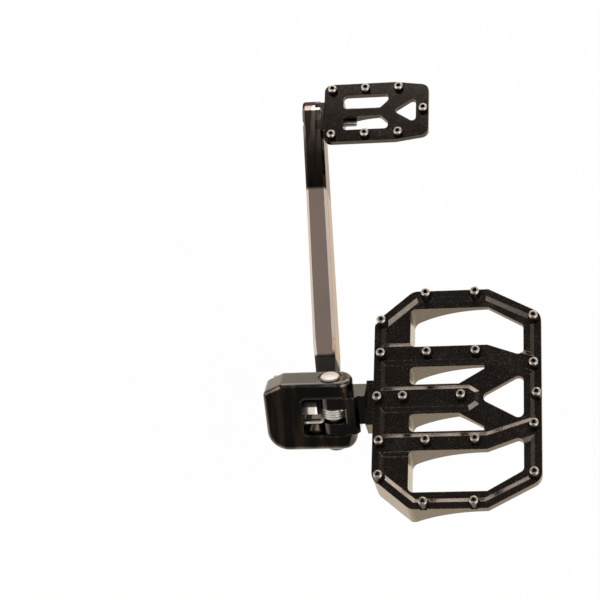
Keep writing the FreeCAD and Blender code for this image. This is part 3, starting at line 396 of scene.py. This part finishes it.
# %% [markdown]
# ## Directions of the leaning hinge
#
# The hinge pin leans forward, so faces of the clevis are square to the pin and not to the frame.
# Two directions say it all: one along the pin, and one across it towards the viewer. The farthest
# point of the clevis along the second one is its front face.

# %% Directions of the hinge
TILT = np.radians(52.0)
ALONG_PIN = np.array([0.0, np.cos(TILT), np.sin(TILT)])
ACROSS_PIN = np.array([0.0, -np.sin(TILT), np.cos(TILT)])


def reach(name, direction):
    """How far a packed part's points go along a direction: the largest dot product."""
    mesh = nodes[name].data
    points = np.empty(3 * len(mesh.vertices))
    mesh.vertices.foreach_get("co", points)
    return float((points.reshape(-1, 3) @ direction).max())


front_face = reach("clevis", ACROSS_PIN)
print("the clevis face is", round(front_face, 4), "in front of the pin")

# %% [markdown]
# ## Gloss black clevis
#
# The clevis and the tongue are dipped in a deeper gloss, without grit. Under the clear skin,
# which is the shader's coat, the metal is brown-black and cloudy, and slow waves bend what it
# mirrors. Soft brown streaks along the front face are a painted reflection: noise that is
# squeezed along two axes, kept on the front by its depth across the pin.

# %% Gloss black finish
PAINTED_REFLECTION_BROWN, PAINTED_REFLECTION_SHARE, DOWN_THE_FACE = (0.26, 0.18, 0.11), 0.5, (1, 0.1, 0.1)
CLOUD_LIGHTER, CLOUD_SHARE = 1.8, 0.6
FACE_FROM, FACE_TO = front_face - 2.5 * MM, front_face - 0.5 * MM


def gloss_black(name, base, roughness, edge):
    """Smooth brown-black metal under a clear coat, whose mirror image wavers a little."""
    finish = Metal(name)
    place = finish.place()
    cloud = finish.noise(place, scale=35.0, detail=3.0, roughness=0.55).between(0.4, 0.7)
    lighter = tuple(CLOUD_LIGHTER * channel for channel in base)
    clouded = finish.mix(cloud * CLOUD_SHARE, base, lighter)
    # Painted reflection: brown streaks down the front face stand in for bands that the face
    # mirrors.
    reflection_streaks = finish.noise(finish.stretched(place, DOWN_THE_FACE), scale=170.0).between(0.5, 0.7)
    _, forward, height = finish.split(place)
    depth = forward * float(ACROSS_PIN[1]) + height * float(ACROSS_PIN[2])
    painted_streak_reflection = reflection_streaks * depth.between(FACE_FROM, FACE_TO) * PAINTED_REFLECTION_SHARE
    dust = finish.noise(place, scale=900.0, roughness=0.6).between(0.62, 0.8)
    waves = finish.noise(place, scale=45.0)
    return finish.close({
        "Base Color": finish.mix(painted_streak_reflection, clouded, PAINTED_REFLECTION_BROWN),
        "Roughness": roughness + dust * 0.1,
        "Specular Tint": EDGE_WARM,
        "Coat Weight": 0.8,
        "Coat Roughness": 0.06,
        "Normal": finish.relief(waves, strength=0.15, depth=0.6 * MM, edge=edge),
    })


clevis_black = gloss_black("clevis_black", base=(0.030, 0.025, 0.020),
                           roughness=0.12, edge=2.2 * MM)
tongue_black = gloss_black("tongue_black", base=(0.030, 0.025, 0.022),
                           roughness=0.16, edge=0.8 * MM)
print("gloss:", clevis_black.name, tongue_black.name)

# %% [markdown]
# ## Bare metal
#
# Bare metal differs by its colour and its polish. The hinge pin is satin steel, the spring is
# dull drawn wire, the cross shaft is darkened, bolts and screws are plain grey steel, and the
# bushings are bronze. One helper makes them all: a cloud and fine marks of noise darken the
# colour here and there, and the marks also make the surface rougher and uneven.

# %% Bare metal finishes
BARE_EDGE = 0.3 * MM
EVEN, LONG_ACROSS = (1, 1, 1), (0.2, 1, 1)
CLOUD_DARKENS, MARKS_DARKEN = 0.5, 0.35


def bare_metal(name, color, deep, roughness, grain, stretch):
    """Metal with fine marks; deep is its colour in them, grain their count per metre."""
    finish = Metal(name)
    place = finish.place()
    fine = finish.noise(finish.stretched(place, stretch), scale=grain, detail=3.0, roughness=0.6)
    cloud = finish.noise(place, scale=90.0, detail=3.0, roughness=0.55)
    dark = cloud.between(0.45, 0.75) * CLOUD_DARKENS + fine.between(0.5, 0.8) * MARKS_DARKEN
    return finish.close({
        "Base Color": finish.mix(dark, color, deep),
        "Roughness": roughness + fine * 0.12,
        "Normal": finish.relief(fine, strength=0.10, depth=0.1 * MM, edge=BARE_EDGE),
    })


BARE_METALS = [  # name, colour, colour in the marks, roughness, grain, stretch
    ("pin_satin", (0.42, 0.38, 0.345), (0.20, 0.18, 0.16), 0.36, 1200.0, EVEN),
    ("spring_wire", (0.76, 0.73, 0.66), (0.50, 0.46, 0.40), 0.42, 900.0, EVEN),
    ("shaft_black", (0.05, 0.045, 0.042), (0.03, 0.028, 0.026), 0.30, 1000.0, EVEN),
    ("bolt_steel", (0.34, 0.34, 0.36), (0.16, 0.16, 0.17), 0.24, 1100.0, LONG_ACROSS),
    ("bushing_bronze", (0.52, 0.36, 0.18), (0.34, 0.22, 0.10), 0.34, 800.0, EVEN),
]
bare = {row[0]: bare_metal(*row) for row in BARE_METALS}
print("bare metals:", ", ".join(bare))

# %% [markdown]
# ## Traction pins
#
# The pins are blackened grub screws whose upper rims are worn bright by boots. Wear like that
# follows height, so the mask is simply the height above the frame: bare metal over the last
# millimetre or so, black oxide below it and down in the socket. Noise in the height frays the
# line.

# %% Worn pin finish
WORN_HEIGHT, FRAYED = 0.9 * MM, 0.6 * MM
OXIDE, WORN_BRIGHT, WORN_DARK = (0.045, 0.040, 0.038), (0.64, 0.56, 0.48), (0.28, 0.24, 0.21)


def worn_pin(name, top):
    """Black oxide with a bright rim; top is the height of the pin's upper face in metres."""
    finish = Metal(name)
    place = finish.place()
    scuffs = finish.noise(place, scale=1800.0, detail=3.0, roughness=0.6)
    height = finish.split(place)[2] + (scuffs - 0.5) * FRAYED
    rubbed = height.between(top - WORN_HEIGHT, top - 0.7 * WORN_HEIGHT)
    worn = finish.mix(scuffs.between(0.4, 0.7), WORN_BRIGHT, WORN_DARK)
    return finish.close({
        "Base Color": finish.mix(rubbed, OXIDE, worn),
        "Roughness": 0.42 - rubbed * 0.08,
        "Normal": finish.relief(scuffs, strength=0.12, depth=0.2 * MM, edge=BARE_EDGE),
    })


deck_top, pad_top = (float(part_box(name)[1][2]) for name in ("deck_pins", "pad_pins"))
deck_pin_worn = worn_pin("deck_pin_steel", deck_top)
pad_pin_worn = worn_pin("pad_pin_steel", pad_top)
print("pin tops at", round(deck_top, 4), "and", round(pad_top, 4))

# %% [markdown]
# ## Colours of the chromed lever
#
# The lever is forged, polished and plated. Its base colour is a painted reflection, a ramp along
# the lever from the hub to the nose. The hub is matt black, painted as the black clevis mirrored
# in it, and the arm is a plain taupe mirror up to two thirds of its length. There the painted
# reflection turns black at a hard edge, and fades to tan near the tip. A little smoke lies over
# it in clouds.

# %% Chrome colours
CHROME_FROM = 38 * MM
HUB_REFLECTION_BLACK, SMOKE, SMOKE_SHARE = (0.012, 0.011, 0.010), (0.20, 0.18, 0.17), 0.25
# Painted reflection: these stops are what the chrome mirrors, laid into its base colour.
CHROME_REFLECTION_STOPS = [
    (0.000, HUB_REFLECTION_BLACK), (0.010, HUB_REFLECTION_BLACK), (0.018, (0.60, 0.52, 0.475)),
    (0.640, (0.66, 0.57, 0.52)), (0.650, (0.012, 0.012, 0.012)), (0.780, (0.060, 0.050, 0.045)),
    (0.880, (0.30, 0.26, 0.235)), (0.960, (0.60, 0.52, 0.46)), (1.000, (0.30, 0.26, 0.235)),
]

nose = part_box("toe_lever")[1][1]
chrome = Metal("lever_chrome")
place = chrome.place()
_, forward, height = chrome.split(place)
along = (forward - CHROME_FROM) * (1.0 / (nose - CHROME_FROM))
painted_ramp_reflection = chrome.add("ValToRGB", {"stops": CHROME_REFLECTION_STOPS}, {"Fac": along})
cloud = chrome.noise(place, scale=30.0, detail=3.0).between(0.45, 0.8)
smoked_reflection = chrome.mix(cloud * SMOKE_SHARE, painted_ramp_reflection, SMOKE)
print("lever ends at", round(float(nose), 4))

# %% [markdown]
# ## Marks, line and polish of the lever
#
# Long dark marks of polish are noise squeezed along the lever, kept to its front third. A dark
# line below the top edge is a painted reflection, a dark band that the chrome mirrors; it follows
# the slope of the arm, and is the difference of two soft steps, measured down from that edge.
# Where the hub begins, the shader goes from metal to matt, so Metallic and Roughness carry the
# same mask.

# %% Chrome finish
ROOT_Y, ROOT_TOP, ARM_SLOPE = 20.0 * MM, -10.88 * MM, 0.1281
REFLECTION_LINE_FROM, REFLECTION_LINE_TO, REFLECTION_LINE_SOFT = 2.4 * MM, 5.0 * MM, 0.3 * MM
HUB_BAND, FRONT_THIRD, MARK_SHARE = (0.002, 0.012), (0.65, 0.70), 0.75
MARKS_STRETCH, POLISH_STRETCH = (1, 0.04, 0.4), (1, 0.05, 1)
MARK_BROWN, LINE_REFLECTION_BLACK = (0.035, 0.030, 0.028), (0.012, 0.012, 0.013)

marks = chrome.noise(chrome.stretched(place, MARKS_STRETCH), scale=420.0).between(0.45, 0.62)
marked_reflection = chrome.mix(marks * along.between(*FRONT_THIRD) * MARK_SHARE, smoked_reflection, MARK_BROWN)
below_top = (forward - ROOT_Y) * ARM_SLOPE + ROOT_TOP - height
# Painted reflection: a dark band along the lever's side, laid into the base colour.
painted_line_reflection = (below_top.between(REFLECTION_LINE_FROM, REFLECTION_LINE_FROM + REFLECTION_LINE_SOFT)
        * (1.0 - below_top.between(REFLECTION_LINE_TO, REFLECTION_LINE_TO + REFLECTION_LINE_SOFT)))
hub = 1.0 - along.between(*HUB_BAND)
drawn_out = chrome.stretched(place, POLISH_STRETCH)
polish = chrome.noise(drawn_out, scale=500.0, detail=3.0, roughness=0.6)
lever_chrome = chrome.close({
    "Base Color": chrome.mix(painted_line_reflection, marked_reflection, LINE_REFLECTION_BLACK),
    "Metallic": 1.0 - hub,
    "Roughness": 0.05 + polish * 0.06 + hub * 0.60,
    "Specular Tint": (0.62, 0.50, 0.40),
    "Normal": chrome.relief(polish, strength=0.08, depth=0.1 * MM, edge=0.6 * MM),
})
print("chrome nodes:", len(chrome.tree.nodes))

# %% [markdown]
# ## Giving the packed parts their finishes
#
# A part from the frame keeps its shape and its place. Its looks change by filling the material
# slots of its object, and nothing else.

# %% Assign the finishes
FINISHES = {
    deck_black: ["floor_deck"],
    pad_black: ["toe_pad"],
    clevis_black: ["clevis"],
    tongue_black: ["hinge_tongue"],
    deck_pin_worn: ["deck_pins"],
    pad_pin_worn: ["pad_pins"],
    bare["pin_satin"]: ["hinge_pin", "pin_washer", "pin_ring"],
    bare["shaft_black"]: ["pivot_shaft", "shaft_spacer", "shaft_washer", "shaft_ring"],
    bare["bolt_steel"]: ["shaft_lock_screw", "spigot_screws", "pad_bolts"],
    bare["spring_wire"]: ["torsion_spring"],
    lever_chrome: ["toe_lever"],
    bare["bushing_bronze"]: ["lever_bushing", "hinge_bushing_upper", "hinge_bushing_lower"],
}
for finish, names in FINISHES.items():
    for name in names:
        for slot in nodes[name].material_slots:
            slot.material = finish
given = {name for names in FINISHES.values() for name in names}
print("finished nodes:", len(given), "left over:", sorted(set(nodes) - given))

# %% [markdown]
# ## The path of the torsion spring
#
# The packed spring is a facetted tube. A smooth one is a circle swept along a path: a leg that
# lies on the clevis, a rounded corner, four and a half close turns round the hinge pin, and a leg
# to the deck. The path is one array of points, worked out in the pin's own directions and then
# leaned.

# %% Path of the wire
HINGE = np.array([40.5, 0.0, 0.0]) * MM
OUTBOARD = np.array([1.0, 0.0, 0.0])
WIRE, COIL_RADIUS, TURNS, LEG = 0.85 * MM, 6.15 * MM, 4.5, 7.2 * MM
COIL_HEIGHT = 2 * WIRE * TURNS + 0.1 * MM
WEB_END, CORNER = -17.7 * MM, 2.2 * MM
CORNER_POINTS, TURN_POINTS = 10, 40


def spring_path():
    """Rows of (across, up the pin, towards the viewer): leg, quarter circle, helix, leg."""
    low, high = -COIL_HEIGHT / 2, COIL_HEIGHT / 2
    bend = np.linspace(0, np.pi / 2, CORNER_POINTS)
    turned = np.linspace(0, TURNS * 2 * np.pi, int(TURNS * TURN_POINTS))
    first_leg = np.array([[WEB_END, low, LEG], [WEB_END * 0.6 - COIL_RADIUS * 0.4, low, LEG]])
    corner = np.stack([-COIL_RADIUS - CORNER + CORNER * np.sin(bend),
                       np.full(CORNER_POINTS, low),
                       LEG - CORNER + CORNER * np.cos(bend)], axis=1)
    coil = np.stack([-COIL_RADIUS * np.cos(turned),
                     low + COIL_HEIGHT * turned / turned[-1],
                     -COIL_RADIUS * np.sin(turned)], axis=1)
    last_leg = np.array([[COIL_RADIUS, high, LEG * 0.4], [COIL_RADIUS, high, LEG]])
    return np.concatenate([first_leg, corner, coil, last_leg])


wire_path = HINGE + spring_path() @ np.array([OUTBOARD, ALONG_PIN, ACROSS_PIN])
print("wire points:", len(wire_path))

# %% [markdown]
# ## Sweeping a round wire
#
# A tube needs two directions across its path at every point. The cross product of the path's
# direction with a steady one gives the first, as long as the path never runs along the steady
# one. This wire never runs along the pin, so the pin's direction serves.

# %% Sweep a round wire along a path
def tube(name, path, radius, steady, sides=14):
    """Each ring is a circle across the path: point + radius (cos a · side + sin a · up).

    Side is the path's direction crossed with a steady one, and up is the path's direction crossed
    with side. The ends are closed by fans to their middle points.
    """
    ahead = np.gradient(path, axis=0)
    ahead /= np.linalg.norm(ahead, axis=1, keepdims=True)
    side = np.cross(ahead, steady)
    side /= np.linalg.norm(side, axis=1, keepdims=True)
    up = np.cross(ahead, side)
    angle = np.linspace(0, 2 * np.pi, sides, endpoint=False)[None, :, None]
    rings = path[:, None] + radius * (np.cos(angle) * side[:, None] + np.sin(angle) * up[:, None])
    points = np.concatenate([rings.reshape(-1, 3), path[:1], path[-1:]])

    row, column = np.meshgrid(np.arange(len(path) - 1), np.arange(sides), indexing="ij")
    here, beside = row * sides + column, row * sides + (column + 1) % sides
    quads = np.stack([here, beside, beside + sides, here + sides], axis=-1).reshape(-1, 4)
    first, following = np.arange(sides), (np.arange(sides) + 1) % sides
    last = (len(path) - 1) * sides
    start, stop = np.full(sides, len(points) - 2), np.full(sides, len(points) - 1)
    start_fan = np.stack([start, following, first], axis=1)
    stop_fan = np.stack([stop, last + first, last + following], axis=1)

    mesh = bpy.data.meshes.new(name)
    mesh.from_pydata(points.tolist(), [], quads.tolist() + start_fan.tolist() + stop_fan.tolist())
    mesh.polygons.foreach_set("use_smooth", np.ones(len(mesh.polygons), dtype=bool))
    piece = bpy.data.objects.new(name, mesh)
    bpy.context.scene.collection.objects.link(piece)
    return piece


spring = tube("spring_wire", wire_path, WIRE, ALONG_PIN)
spring.data.materials.append(bare["spring_wire"])
print("spring faces:", len(spring.data.polygons))

# %% [markdown]
# ## Putting the new spring in place
#
# The new wire stands in for the packed spring, which is hidden, and its place is baked into its
# points. On the real board, when the deck folds, the lower leg stays with the clevis and the
# upper one turns with the deck, as a wound spring shares its twist among its turns.

# %% Put the new spring in place of the packed one
half_coil = COIL_HEIGHT / 2 - WIRE
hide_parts("torsion_spring")
HINGE - half_coil * ALONG_PIN
HINGE + half_coil * ALONG_PIN
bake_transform(spring)
print("the twist is shared over", round(2 * half_coil, 4))

# %% [markdown]
# ## Sizes
#
# Blender adds looks and no size.
